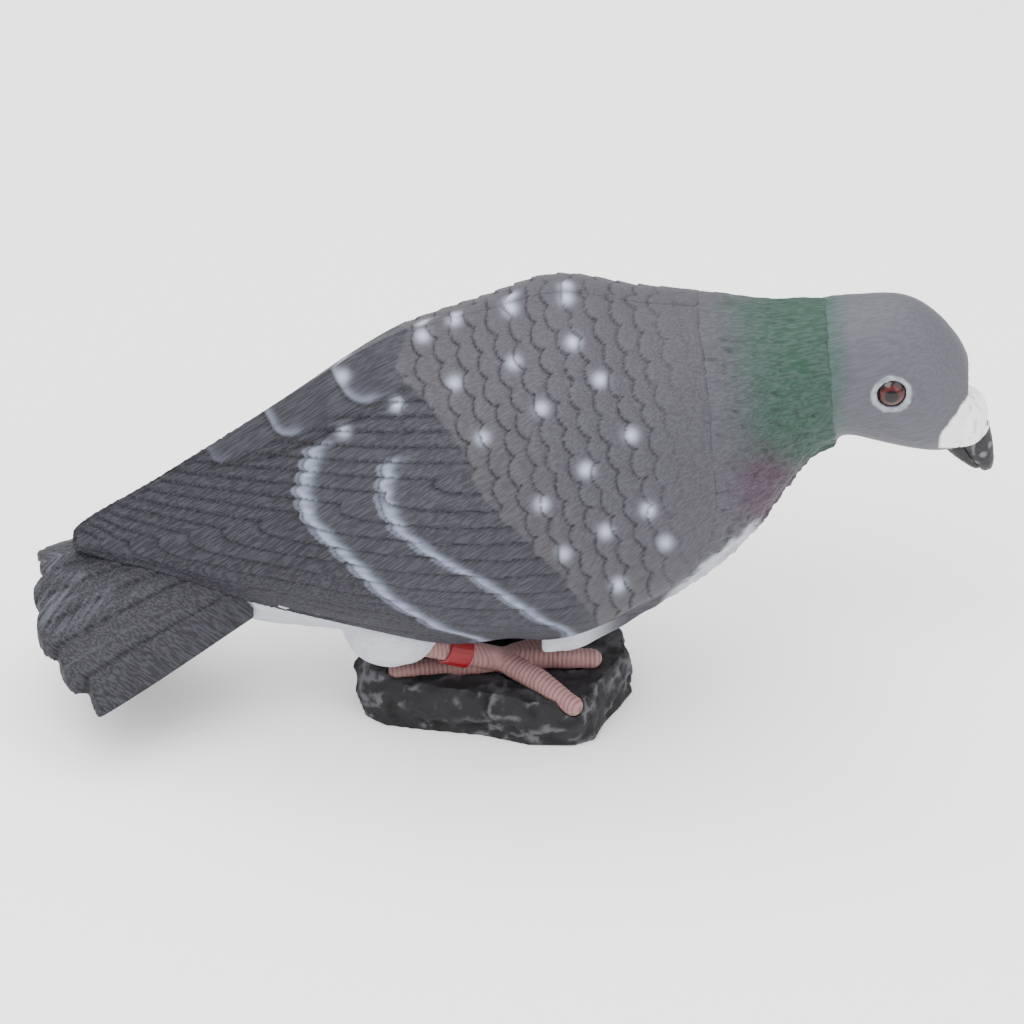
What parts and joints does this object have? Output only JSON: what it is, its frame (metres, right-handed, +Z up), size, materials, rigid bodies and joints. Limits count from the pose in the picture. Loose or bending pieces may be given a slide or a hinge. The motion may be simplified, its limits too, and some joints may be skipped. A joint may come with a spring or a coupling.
{
  "type": "pigeon decoy figure",
  "caption": "Free-standing painted pigeon decoy in a crouched feeding pose on a rough rock base, with folded wings and a fanned tail.",
  "frame": {"origin": "on the ground, under the middle of the bounding box", "axes": "+X from the tail to the bill, +Y to the bird's left, +Z up"},
  "size_m": [0.3202, 0.1094, 0.1593],
  "materials": {
    "body_paint": "hand-painted matt mauve-grey cast resin with a green and purple neck",
    "wing_paint": "hand-painted matt slate-grey cast resin with pale bars and spots",
    "tail_paint": "dark slate paint, white dry-brushed on the feather ends",
    "head_paint": "smooth satin mauve-grey paint",
    "bill_paint": "dark grey paint with white dry-brushing",
    "cere_paint": "matt white paint",
    "eye_glass": "glossy dark red iris round a black pupil",
    "foot_paint": "matt salmon-pink paint",
    "ring_plastic": "satin red",
    "rod_steel": "plain drawn wire",
    "rock_paint": "matt black with white dry-brushing on the ridges"
  },
  "bodies": {
    "root": {"body_casting": "body_paint", "head_casting": "head_paint", "left_wing": "wing_paint", "right_wing": "wing_paint", "tail_fan": "tail_paint", "bill_upper": "bill_paint", "bill_lower": "bill_paint", "bill_cere": "cere_paint", "left_eye": "eye_glass", "right_eye": "eye_glass", "left_leg": "foot_paint", "right_leg": "foot_paint", "leg_ring": "ring_plastic", "left_leg_rod": "rod_steel", "right_leg_rod": "rod_steel", "rock_base": "rock_paint"}
  },
  "joints": []
}
